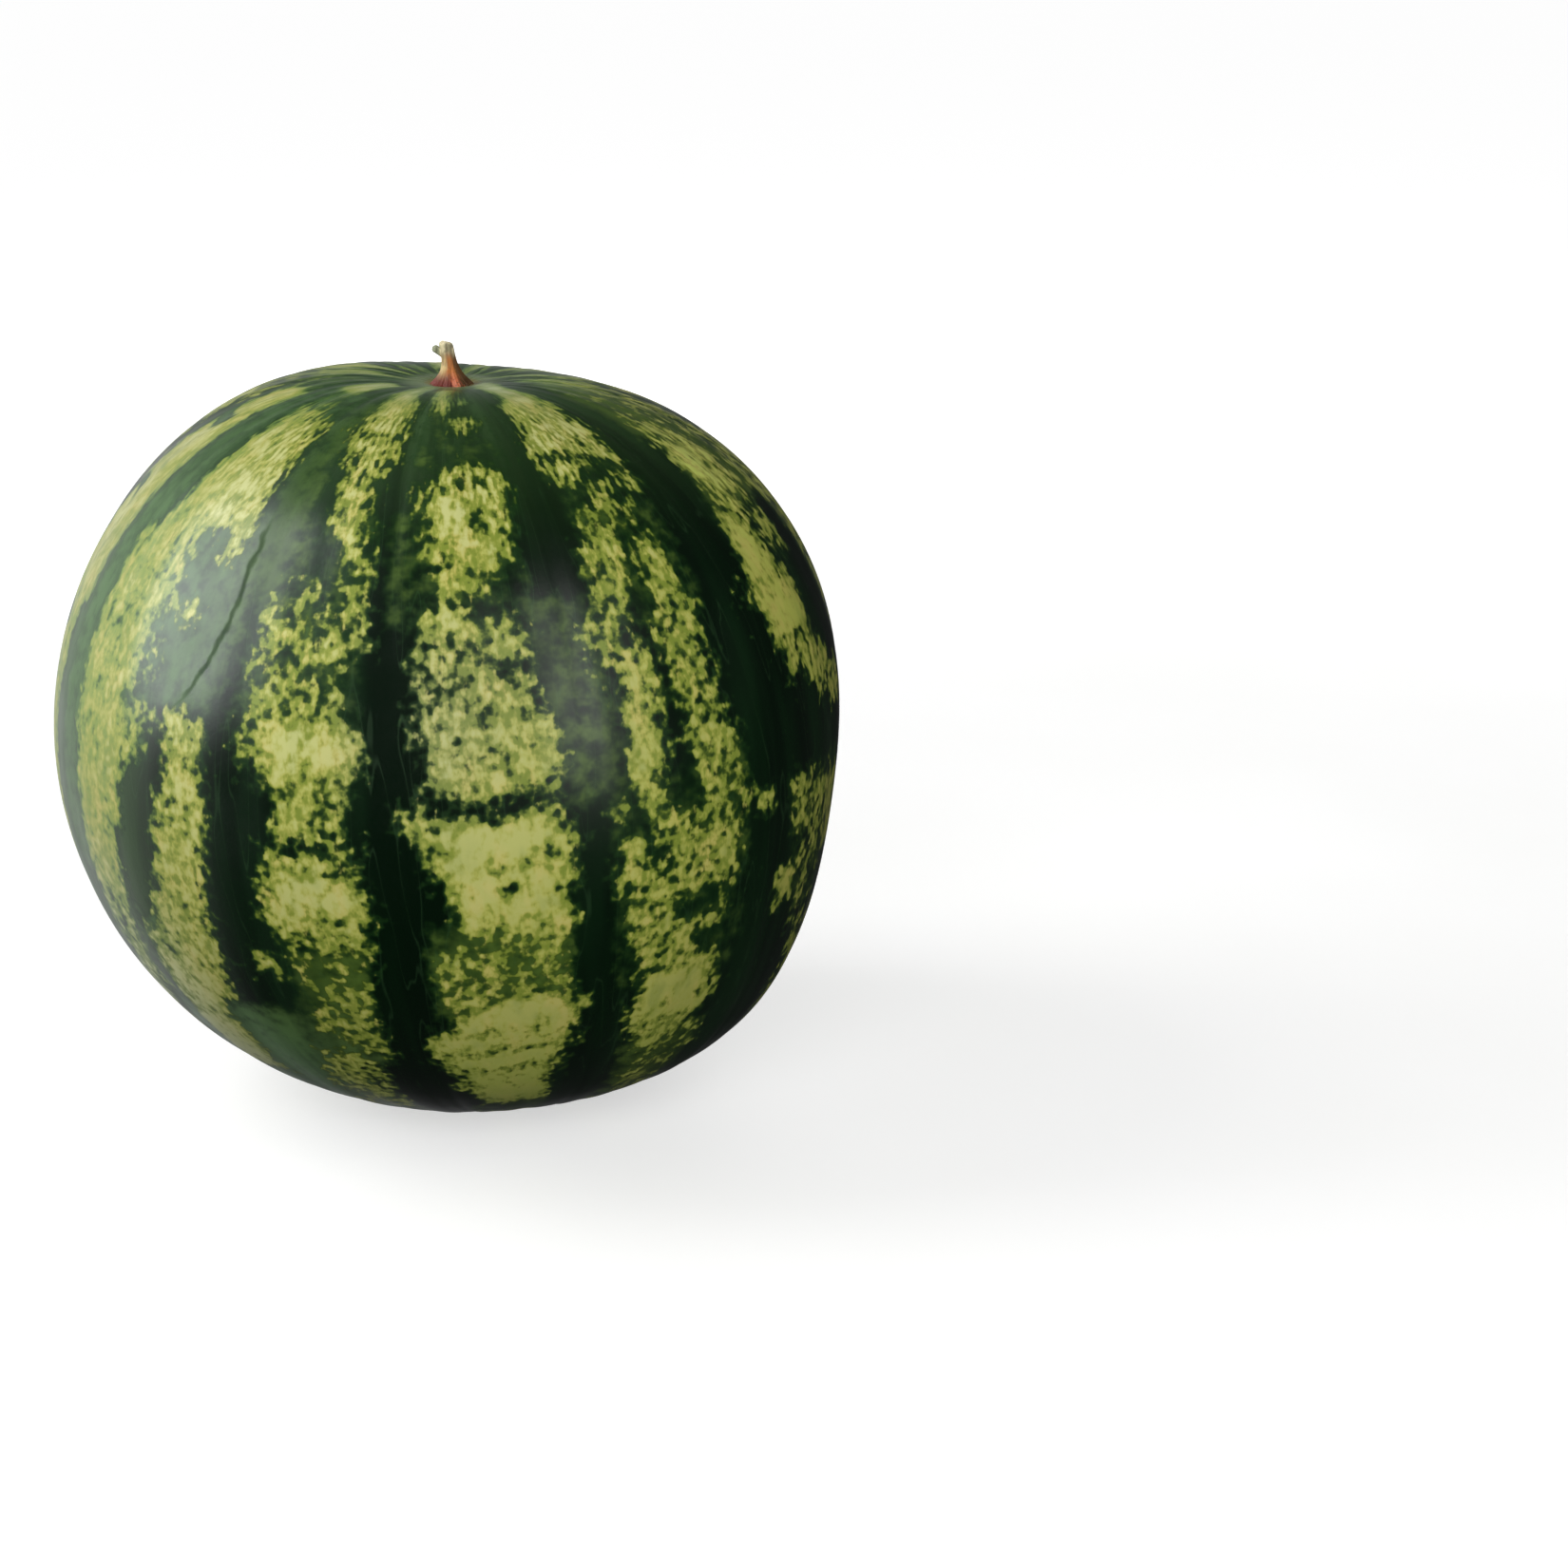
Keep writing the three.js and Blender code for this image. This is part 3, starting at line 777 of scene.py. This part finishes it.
def dark_layer(tree, at, depth):
    """Clouds of two dark greens, a bluer painted sheen on the shoulder and at the left where
    light is mirrored in the wax, a halo round the pale patches, mottled patches of mid green,
    and thin veins along the meridians."""
    clouds = spread(tree, noise(tree, at["along"], 40, 3.0, 0.6), 0.4, 0.7)
    dark = blend(tree, clouds, DEEP_GREEN, DARK_GREEN)
    uneven = spread(tree, noise(tree, at["along"], 75, 3.0, 0.6), 0.36, 0.64, 0.65, 1.2)
    # Painted sheen: the dark green turns bluer on the shoulder and at the left, where light is
    # mirrored in the wax.
    high = spread(tree, at["polar"], *SHOULDER_POLAR, 0.55, 0.0)
    high = times(tree, high, spread(tree, at["left"], *SHOULDER_LEFT, 0.55, 1))
    sheen_share = calc(tree, "MAXIMUM", high, spread(tree, at["left"], *SHEEN_LEFT, 0, 0.6))
    dark = blend(tree, times(tree, sheen_share, uneven), dark, SHEEN_GREEN)
    dark = blend(tree, spread(tree, depth, *HALO_DEPTH, 0, 0.7), dark, HALO_GREEN)
    mottle = calc(tree, "MULTIPLY_ADD", noise(tree, at["place"], 190, 2.0, 0.55), 18, -9.0)
    mottled = calc(tree, "ADD", at["green"], mottle)
    dark = blend(tree, spread(tree, mottled, *GREEN_HALO_DEPTH, 0, 0.5), dark, HALO_GREEN)
    green = times(tree, spread(tree, mottled, *GREEN_DEPTH, 0, 0.7), uneven)
    dark = blend(tree, green, dark, mid_green(tree, at))
    vein = calc(tree, "ABSOLUTE", centred(tree, at["along"], 150, 1.0))
    vein = times(tree, spread(tree, vein, 0.0, 0.012, 1, 0), 0.14)
    return blend(tree, vein, dark, VEIN_GREEN)


# %% The pale layer
def cream_share(tree, at, depth):
    """Most where a patch is deepest, less low down and less at the right. The share kept low on
    the left is a painted sheen, and the fall to the right, strongest below the shoulder, stands
    for the cool window light that falls from the left.
    """
    lower = spread(tree, at["polar"], *CREAM_POLAR, 1.0, 0.3)
    lower = calc(tree, "MAXIMUM", lower, spread(tree, at["left"], *CREAM_LEFT, 0.0, 0.8))
    righter = spread(tree, at["left"], *BRIGHT_LEFT, 0.4, 1.0)
    high = spread(tree, at["polar"], *BRIGHT_POLAR, 0.9, 0.0)
    righter = calc(tree, "MAXIMUM", righter, high)
    return times(tree, spread(tree, depth, *CREAM_DEPTH), times(tree, lower, righter))


def pale_layer(tree, at, depth):
    """Khaki with streaks of tan and olive, cream at the left and lime at the right in the middle
    of the patches, a painted tint of cool window light from the left, more olive low down, a
    painted sheen low on the left, and waxy round the stem."""
    hue = noise(tree, at["shorter"], 120, 2.0, 0.55)
    pale = blend(tree, spread(tree, hue, 0.52, 0.70, 0, 0.8), KHAKI, TAN)
    pale = blend(tree, spread(tree, hue, 0.48, 0.32, 0, 0.6), pale, OLIVE)
    # Painted light: cream at the left, lime at the right, a tint of cool window light from the left.
    bright = blend(tree, spread(tree, at["left"], *LIME_LEFT), CREAM, LIME)
    pale = blend(tree, cream_share(tree, at, depth), pale, bright)
    pale = blend(tree, spread(tree, at["polar"], *LOW_OLIVE_POLAR, 0.0, 0.6), pale, LOW_OLIVE)
    # Painted sheen: whitish low on the left, where light is mirrored in the wax.
    painted_sheen = spread(tree, at["polar"], *LOW_SHEEN_POLAR)
    painted_sheen = times(tree, painted_sheen, spread(tree, at["left"], *LOW_SHEEN_LEFT))
    pale = blend(tree, times(tree, painted_sheen, 0.8), pale, PAINTED_SHEEN)
    return blend(tree, spread(tree, at["polar"], *WAX_POLAR, 0.85, 0.0), pale, WAX)


# %% The healed crease
CREASE_POLAR = (46.0, 70.0)
CREASE_TOP = (43.0, 49.0)
CREASE_END = (66.0, 72.0)
CREASE_LONGITUDE = -36.5
CREASE_REACH = -7.5
CREASE_POWER = 3.5
CREASE_WIDTH = (0.05, 0.8)


def crease_height(tree, at):
    """One on a thin line that curves off to the left on its way down: its longitude is a
    power of how far down it is, shaken a little, and it fades at both ends."""
    down = spread(tree, at["polar"], *CREASE_POLAR, kind="LINEAR")
    middle = calc(tree, "POWER", down, CREASE_POWER)
    middle = calc(tree, "MULTIPLY_ADD", middle, CREASE_REACH, CREASE_LONGITUDE)
    middle = calc(tree, "MULTIPLY_ADD", noise(tree, at["place"], 130, 2.0, 0.6), 2.4, middle)
    away = calc(tree, "ABSOLUTE", calc(tree, "SUBTRACT", at["longitude"], middle))
    ends = spread(tree, at["polar"], *CREASE_TOP)
    ends = times(tree, ends, spread(tree, at["polar"], *CREASE_END, 1, 0))
    ends = times(tree, ends, spread(tree, at["front"], 0.4, 0.6))
    return times(tree, spread(tree, away, *CREASE_WIDTH, 1, 0), ends)


# %% The rind's material
CREASE_COLOUR = 0.45
CREASE_DULLNESS = 0.4
GLOSS = (0.28, 0.40)  # roughness of the waxiest and of the dullest skin
WAX_IOR = 1.45


def rind_colour(tree, at):
    """The dark layer, then a rim, an olive band and the pale layer as the depth grows, and
    the ring, the callus and the scar at the two ends."""
    depth, calm = ragged_depth(tree, at)
    grain = times(tree, centred(tree, at["shorter"], GRAIN_SCALE, 2.0, 0.55), calm)
    grainy = calc(tree, "MULTIPLY_ADD", grain, GRAIN_PUSH, depth)
    # The rim and olive band are paler at the left, a painted sheen, and also paler near the stem.
    soft = spread(tree, at["left"], *SOFT_RIM_LEFT)
    soft = calc(tree, "MAXIMUM", soft, spread(tree, at["polar"], *SOFT_RIM_POLAR, 1.0, 0.0))
    rim = blend(tree, soft, RIM_GREEN, SOFT_RIM)
    olive = blend(tree, soft, OLIVE, SOFT_OLIVE)
    colour = blend(tree, spread(tree, depth, *RIM_DEPTH), dark_layer(tree, at, depth), rim)
    colour = blend(tree, spread(tree, depth, *OLIVE_DEPTH), colour, olive)
    pale = pale_layer(tree, at, grainy)
    colour = blend(tree, spread(tree, grainy, *PALE_DEPTH), colour, pale)
    colour = blend(tree, spread(tree, at["polar"], *CALLUS_POLAR, 0.6, 0.0), colour, CALLUS)
    colour = blend(tree, spread(tree, at["polar"], *RING_POLAR, 0.8, 0.0), colour, RING_OLIVE)
    return blend(tree, spread(tree, at["polar"], *SCAR_POLAR), colour, SCAR_BROWN)


def rind_material():
    """The colour, a crease that is darker and duller, faint waves, and fine pits."""
    material, tree = new_material("striped_rind")
    at = rind_inputs(tree)
    crease = crease_height(tree, at)
    colour = blend(tree, times(tree, crease, CREASE_COLOUR), rind_colour(tree, at), DARK_GREEN)
    rough = spread(tree, noise(tree, at["place"], 25, 4.0, 0.6), 0.3, 0.7, *GLOSS)
    rough = calc(tree, "MULTIPLY_ADD", crease, CREASE_DULLNESS, rough)
    waves = times(tree, noise(tree, at["along"], 60, 2.0, 0.5), 0.9)
    height = calc(tree, "MULTIPLY_ADD", noise(tree, at["place"], 700, 2.0, 0.6), 0.12, waves)
    bump = node(tree, "ShaderNodeBump", {"Height": height, "Strength": 0.5, "Distance": 0.0006})
    shader = tree.nodes["Principled BSDF"]
    shader.inputs["IOR"].default_value = WAX_IOR
    tree.links.new(colour, shader.inputs["Base Color"])
    tree.links.new(rough, shader.inputs["Roughness"])
    tree.links.new(bump.outputs[0], shader.inputs["Normal"])
    return material


skin.data.materials.append(rind_material())
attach(skin, "root")
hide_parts("melon")
print("rind done:", len(skin.data.materials[0].node_tree.nodes), "nodes")

# %% [markdown]
# ## The stem stub
#
# A ripe melon keeps a short dry stub. Its foot is ridged where the strands of the stalk
# spread into the fruit, its neck is thin and bent, and its tip is a torn end with the root
# of a side shoot. A lathe would make it too even, so the outline of each ring is a circle
# times ridges, and the ridges fade on their way up.

# %% Real sizes of the stub
STUB_HEIGHT = 0.0154
FOOT_DEPTH = 0.0016
FOOT_RADIUS = 0.0071
NECK_RADIUS = 0.0021
TIP_RADIUS = 0.0024
FLARE_HEIGHT = 0.004
STUB_BEND = 0.0022
FOOT_LEAN = 0.14
FOOT_UNEVEN = 0.05
RIDGES = 10
RIDGE_DEPTH = 0.07
STRONG_RIDGES = 5
STRONG_RIDGE_DEPTH = 0.06
FIBRES = 37
COARSE_FIBRES = 23
FIBRE_DEPTH = 0.02
TORN_DEPTH = 0.0009
SHOOT_ROOT = 0.009
SHOOT_TOP = 0.0123
SHOOT_REACH = 0.0054
SHOOT_RADIUS = 0.00115
KNOB_RADIUS = 0.00145

# %% Colours of the stub
RUSSET = srgb(98, 40, 28)
SALMON = srgb(178, 96, 62)
# Dark olive and brown below paint shade on the stub's right side, and straw paints light on the
# neck's left.
DARK_OLIVE = srgb(76, 52, 26)
STRAW = srgb(192, 166, 112)
AMBER = srgb(166, 100, 44)
BROWN = srgb(92, 62, 32)
GREY_STRAW = srgb(140, 134, 104)
PALE_STRAW = srgb(208, 196, 158)
KNOB_GREEN = srgb(104, 118, 92)
GROOVE_BROWN = srgb(60, 36, 20)


# %% The stub's rings
def stub_middle(height):
    """The middle of the stub bends to -X as the 1.3rd power of its height."""
    risen = np.maximum(height, 0) / STUB_HEIGHT
    zero = np.zeros_like(height)
    return STEM_POINT + np.stack([-STUB_BEND * risen**1.3, zero, height], -1)


def stub_radius(height):
    """Neck radius, plus a flare that dies away upwards, times a blunt end."""
    risen = np.maximum(height, 0)
    flare = (FOOT_RADIUS - NECK_RADIUS) * np.exp(-((risen / FLARE_HEIGHT) ** 1.4))
    swell = (TIP_RADIUS - NECK_RADIUS) * (risen / STUB_HEIGHT) ** 2
    left = np.clip((STUB_HEIGHT - risen) / TIP_RADIUS, 0, 1)
    return (NECK_RADIUS + flare + swell) * np.sqrt(1 - (1 - left) ** 4)


def ridge_factor(turn, height):
    """Strands of the stalk: weak and strong cosines round the foot, which fade upwards, on
    an outline that leans to -X."""
    fade = np.exp(-np.maximum(height, 0) / (2 * FLARE_HEIGHT))
    broad = FOOT_UNEVEN * np.cos(2 * turn + 1) - FOOT_LEAN * np.cos(turn)
    weak = RIDGE_DEPTH * np.cos(RIDGES * turn)
    strong = STRONG_RIDGE_DEPTH * np.cos(STRONG_RIDGES * turn)
    return 1 + fade * (broad + weak + strong)


def stub_rings(height, turn):
    """Each ring is a circle times the ridges and fine fibres, and the top is torn uneven."""
    height, turn = height[:, None], turn[None, :]
    wander = 0.9 * np.sin(height * 260)
    fine = np.cos(FIBRES * turn + wander)
    coarse = 0.7 * np.cos(COARSE_FIBRES * turn + 2 - wander)
    fibres = FIBRE_DEPTH * (fine + coarse)
    radius = stub_radius(height) * (ridge_factor(turn, height) + fibres)
    ring = np.stack([radius * np.cos(turn), radius * np.sin(turn), 0 * radius], -1)
    torn = 0.5 + 0.3 * np.cos(turn - 0.6) + 0.2 * np.sin(5 * turn)
    ring[..., 2] -= TORN_DEPTH * (np.maximum(height, 0) / STUB_HEIGHT) ** 8 * torn
    return ring + stub_middle(height)


STUB_RINGS = 90
STUB_SIDES = 160
TOP_RING = 0.995  # share of the height, because the radius is nought at the very top
shares = np.linspace(0, TOP_RING, STUB_RINGS) ** 1.1
stub_heights = np.concatenate([[-FOOT_DEPTH], STUB_HEIGHT * shares])
stub_turns = np.arange(STUB_SIDES) * 2 * np.pi / STUB_SIDES
rings = stub_rings(stub_heights, stub_turns)[:, ::-1]
stub = closed_mesh("stem_stub", rings, rings[0].mean(0), rings[-1].mean(0))
print("stub top:", round(float(rings[..., 2].max()), 4))

# %% The side shoot
SHOOT_RINGS = 24
SHOOT_SIDES = 32


def shoot():
    """A tapering tube with a round end: rings along a line, the radius swelling to a knob."""
    root = stub_middle(np.array(SHOOT_ROOT))
    end = STEM_POINT + np.array([-SHOOT_REACH, 0, SHOOT_TOP])
    along = (end - root) / np.linalg.norm(end - root)
    share = np.linspace(0, 1, SHOOT_RINGS)
    reach = np.linalg.norm(end - root) + KNOB_RADIUS
    knob = (share * reach - (reach - KNOB_RADIUS)) / KNOB_RADIUS
    radius = SHOOT_RADIUS + (KNOB_RADIUS - SHOOT_RADIUS) * share**3
    radius = radius * np.sqrt(np.clip(1 - np.clip(knob, 0, 0.995) ** 2, 0, 1))
    side = np.array([0.0, 1, 0])
    across = np.cross(side, along)
    turn = np.arange(SHOOT_SIDES) * 2 * np.pi / SHOOT_SIDES
    around = np.cos(turn)[:, None] * side + np.sin(turn)[:, None] * across
    rough = 1 + 0.06 * np.cos(5 * turn) + 0.05 * np.sin(9 * turn)
    path = root + share[:, None] * reach * along
    rings = path[:, None] + (radius[:, None] * rough)[..., None] * around
    return closed_mesh("shoot", rings, path[0], path[-1])


# %% The shoot joined to the stub
def outward(piece):
    """Turns every face to point out of its closed mesh."""
    mesh = bmesh.new()
    mesh.from_mesh(piece.data)
    bmesh.ops.recalc_face_normals(mesh, faces=mesh.faces)
    mesh.to_mesh(piece.data)
    mesh.free()


def join_solid(piece, other):
    """Unites two closed meshes into one and removes the second."""
    union = piece.modifiers.new("union", "BOOLEAN")
    union.operation = "UNION"
    union.solver = "EXACT"
    union.object = other
    bpy.context.view_layer.objects.active = piece
    bpy.ops.object.modifier_apply(modifier=union.name)
    bpy.data.objects.remove(other)


side_shoot = shoot()
outward(stub)
outward(side_shoot)
outward(skin)
join_solid(stub, side_shoot)
stub.data.shade_smooth()
print("stub faces:", len(stub.data.polygons))


# %% The stub's material
def stub_material():
    """Three bands of height: a foot russet at the left, salmon at the right and dark olive at the
    far right, a neck straw at the left, amber in the middle and brown at the right, and a grey
    tip. The dark olive and brown at the right are painted shade and the pale straw at the left
    is painted light, the same at front and back. The side is the distance from the stub's
    middle over its radius there, shaken by the strands. The shoot's knob is greener."""
    material, tree = new_material("dried_stalk")
    place = place_of(tree)
    split = node(tree, "ShaderNodeSeparateXYZ", {0: place})
    rise = calc(tree, "SUBTRACT", split.outputs["Z"], float(STEM_POINT[2]))
    right = calc(tree, "SUBTRACT", split.outputs["X"], float(STEM_POINT[0]))
    stretch = node(tree, "ShaderNodeMapping", {"Vector": place, "Scale": (1, 1, 0.12)})
    strands = noise(tree, stretch.outputs[0], 1100, 3.0, 0.6)
    blotch = noise(tree, place, 260, 3.0, 0.6)
    bent = calc(tree, "MULTIPLY_ADD", rise, STUB_BEND / STUB_HEIGHT, right)
    flare = spread(tree, rise, -0.001, 0.0075, 1, 0)
    radius = calc(tree, "MULTIPLY_ADD", flare, FOOT_RADIUS - NECK_RADIUS, NECK_RADIUS)
    side = calc(tree, "DIVIDE", bent, radius)
    side = calc(tree, "MULTIPLY_ADD", calc(tree, "SUBTRACT", strands, 0.5), 0.9, side)
    # The stub's right side is painted shade, dark olive at the foot and brown at the neck, and the
    # neck's left is painted light, pale straw.
    foot = blend(tree, spread(tree, side, -0.1, 0.15), RUSSET, SALMON)
    foot = blend(tree, spread(tree, side, 0.3, 0.6), foot, DARK_OLIVE)
    neck = blend(tree, spread(tree, side, -0.75, -0.15), STRAW, AMBER)
    neck = blend(tree, spread(tree, side, 0.35, 0.8), neck, BROWN)
    tip = blend(tree, spread(tree, blotch, 0.42, 0.6), GREY_STRAW, PALE_STRAW)
    colour = blend(tree, spread(tree, rise, 0.0015, 0.0065), foot, neck)
    colour = blend(tree, spread(tree, rise, 0.0085, 0.0125), colour, tip)
    knob = times(tree, spread(tree, right, -0.0036, -0.0048), spread(tree, rise, 0.007, 0.009))
    colour = blend(tree, times(tree, knob, 0.8), colour, KNOB_GREEN)
    colour = blend(tree, spread(tree, strands, 0.3, 0.5, 0.5, 0.0), colour, GROOVE_BROWN)
    rough = spread(tree, blotch, 0.3, 0.7, 0.6, 0.85)
    bump = node(tree, "ShaderNodeBump", {"Height": strands, "Strength": 0.6, "Distance": 0.0004})
    shader = tree.nodes["Principled BSDF"]
    tree.links.new(colour, shader.inputs["Base Color"])
    tree.links.new(rough, shader.inputs["Roughness"])
    tree.links.new(bump.outputs[0], shader.inputs["Normal"])
    return material


stub.data.materials.append(stub_material())
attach(stub, "root")
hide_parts("stem")

# %% [markdown]
# ## Floor, light and camera
#
# A pale floor fills the view, as in a product picture. Far out it turns up into a wall, like
# the paper behind a product, so that a low view shows no dark sky. The fruit gets no light
# from the floor, and the floor glows less near the fruit, where a glow would hide the shadow.
#
# One large lamp would be simpler, but a waxy skin shows what it mirrors, so what lights it
# and what it mirrors are set apart. The key lamp at the left isn't mirrored. A cool card
# beside it, tilted like a window, is only mirrored: it is the broad sheen on the left.
# A narrow lamp at the front right gives the second sheen. A low one in front and a weak one
# behind fill the shadows, as the studio's walls do.


# %% The floor
FLOOR_TONES = (srgb(192, 192, 190), srgb(195, 195, 194))
GLOW_DISTANCE = (0.5, 2.0)
GLOW = (0.55, 0.95)


def floor_material():
    """Matt and pale, with a glow of its own that grows with the distance from the fruit."""
    material, tree = new_material("pale_floor")
    place = place_of(tree)
    shade = spread(tree, noise(tree, place, 6, 2.0), 0.3, 0.7)
    colour = blend(tree, shade, *FLOOR_TONES)
    away = node(tree, "ShaderNodeVectorMath", {0: place}, operation="LENGTH").outputs["Value"]
    glow = spread(tree, away, *GLOW_DISTANCE, *GLOW)
    shader = tree.nodes["Principled BSDF"]
    shader.inputs["Roughness"].default_value = 0.9
    shader.inputs["Emission Color"].default_value = (1, 1, 1, 1)
    tree.links.new(glow, shader.inputs["Emission Strength"])
    tree.links.new(colour, shader.inputs["Base Color"])
    return material


def stage_piece(name, points, faces):
    """A mesh that is only stage: seen, but giving the fruit no light and no reflection."""
    mesh = bpy.data.meshes.new(name)
    mesh.from_pydata(points, [], faces)
    mesh.shade_smooth()
    mesh.materials.append(pale_floor)
    piece = bpy.data.objects.new(name, mesh)
    piece.visible_glossy = False
    piece.visible_diffuse = False
    bpy.context.scene.collection.objects.link(piece)
    return piece


FLOOR_HALF = 40.0
CORNERS = ((-1, -1), (1, -1), (1, 1), (-1, 1))
pale_floor = floor_material()
floor_points = [(FLOOR_HALF * x, FLOOR_HALF * y, 0) for x, y in CORNERS]
stage_piece("floor", floor_points, [(0, 1, 2, 3)])
print("floor:", 2 * FLOOR_HALF, "m wide")

# %% The backdrop
SWEEP_START = 18.0
SWEEP_RADIUS = 4.0
WALL_HEIGHT = 14.0
SWEEP_RINGS = 12
RING_STEPS = 96


def sweep_points():
    """Level rings on a profile that turns up from the floor in a quarter circle and goes on as
    a wall."""
    rise = np.radians(np.linspace(0, 90, SWEEP_RINGS))
    out = SWEEP_START + SWEEP_RADIUS * np.append(np.sin(rise), 1)
    up = np.append(SWEEP_RADIUS * (1 - np.cos(rise)), WALL_HEIGHT)
    turn = np.arange(RING_STEPS) * 2 * np.pi / RING_STEPS
    level = np.repeat(up[:, None], RING_STEPS, axis=1)
    return np.stack([np.outer(out, np.cos(turn)), np.outer(out, np.sin(turn)), level], -1)


sweep = sweep_points()
ring, spot = np.meshgrid(np.arange(len(sweep) - 1), np.arange(RING_STEPS), indexing="ij")
here = ring * RING_STEPS + spot
beside = ring * RING_STEPS + (spot + 1) % RING_STEPS
quads = np.stack([here, beside, beside + RING_STEPS, here + RING_STEPS], -1).reshape(-1, 4)
backdrop = stage_piece("backdrop", sweep.reshape(-1, 3).tolist(), quads.tolist())
backdrop.visible_shadow = False
print("backdrop:", len(quads), "faces")


# %% The lights
def aim(thing, target):
    """Turns a light so that its -Z axis points from where it is to the target."""
    way = target - np.array(thing.location)
    flat = math.hypot(way[0], way[1])
    thing.rotation_euler = (math.atan2(flat, -way[2]), 0, math.atan2(way[1], way[0]) - math.pi / 2)


def soft_light(name, azimuth, height, distance, size, watts, lights=True, mirrored=True):
    """A rectangular light that faces the fruit from an azimuth and a height in degrees. It
    lights the skin, shows in its gloss, or both."""
    lamp = bpy.data.lights.new(name, "AREA")
    lamp.shape = "RECTANGLE"
    lamp.size, lamp.size_y = size
    lamp.energy = watts
    thing = bpy.data.objects.new(name, lamp)
    thing.location = FRUIT_CENTRE + distance * direction(azimuth, 90 - height)
    thing.visible_diffuse = lights
    thing.visible_glossy = mirrored
    bpy.context.scene.collection.objects.link(thing)
    aim(thing, FRUIT_CENTRE)
    return thing


CARD_TINT = (0.94, 0.96, 1)
CARD_TILT = 30
soft_light("key_light", 174, 34, 1.6, (0.8, 1.5), 21, mirrored=False)
window_card = soft_light("window_card", 180, 31, 1.6, (1.2, 1.5), 35, lights=False)
window_card.data.color = CARD_TINT
window_card.rotation_euler.rotate_axis("Z", math.radians(CARD_TILT))
soft_light("strip_light", -57, 23, 1.5, (0.5, 1.6), 7.5)
soft_light("fill_light", -98, 18, 2.2, (1.6, 1.6), 42, mirrored=False)
soft_light("back_light", 72, 24, 2.2, (1.6, 1.6), 20, mirrored=False)


# %% The studio's walls, bright behind and to the left, dark in front and to the right
BRIGHT_WAY = (-0.72, 0.66, 0)
WALL_TINT = (0.97, 0.98, 1, 1)


def studio_world():
    """Brightness by direction: a soft step along the bright way, times a share that is greatest
    at the horizon, small towards straight up and nought towards straight down."""
    world = bpy.data.worlds.new("studio")
    world.use_nodes = True
    tree = world.node_tree
    way = node(tree, "ShaderNodeTexCoord").outputs["Generated"]
    slant = node(tree, "ShaderNodeVectorMath", {0: way, 1: BRIGHT_WAY}, operation="DOT_PRODUCT")
    rise = node(tree, "ShaderNodeSeparateXYZ", {0: way}).outputs["Z"]
    level = times(tree, spread(tree, rise, 0.0, 0.55, 1.5, 0.13), spread(tree, rise, -0.9, -0.4))
    strength = spread(tree, slant.outputs["Value"], 0.3, 1.0, 0.0, 0.5)
    strength = calc(tree, "MULTIPLY_ADD", strength, level, 0.03)
    tree.links.new(strength, tree.nodes["Background"].inputs["Strength"])
    tree.nodes["Background"].inputs["Color"].default_value = WALL_TINT
    return world


bpy.context.scene.world = studio_world()
bpy.context.scene.view_settings.view_transform = "Standard"

# %% The camera
LENS = 71.0  # millimetres
SENSOR = 36.0
CAMERA_PLACE = (-0.0074, -1.0625, 0.4153)
LOOKS_DOWN = 16.02
LOOKS_RIGHT = 6.42
camera = bpy.data.objects.new("camera", bpy.data.cameras.new("camera"))
camera.data.lens = LENS
camera.data.sensor_width = SENSOR
camera.location = CAMERA_PLACE
camera.rotation_euler = (math.radians(90 - LOOKS_DOWN), 0, math.radians(-LOOKS_RIGHT))
bpy.context.scene.collection.objects.link(camera)
bpy.context.scene.camera = camera
print("camera:", CAMERA_PLACE)
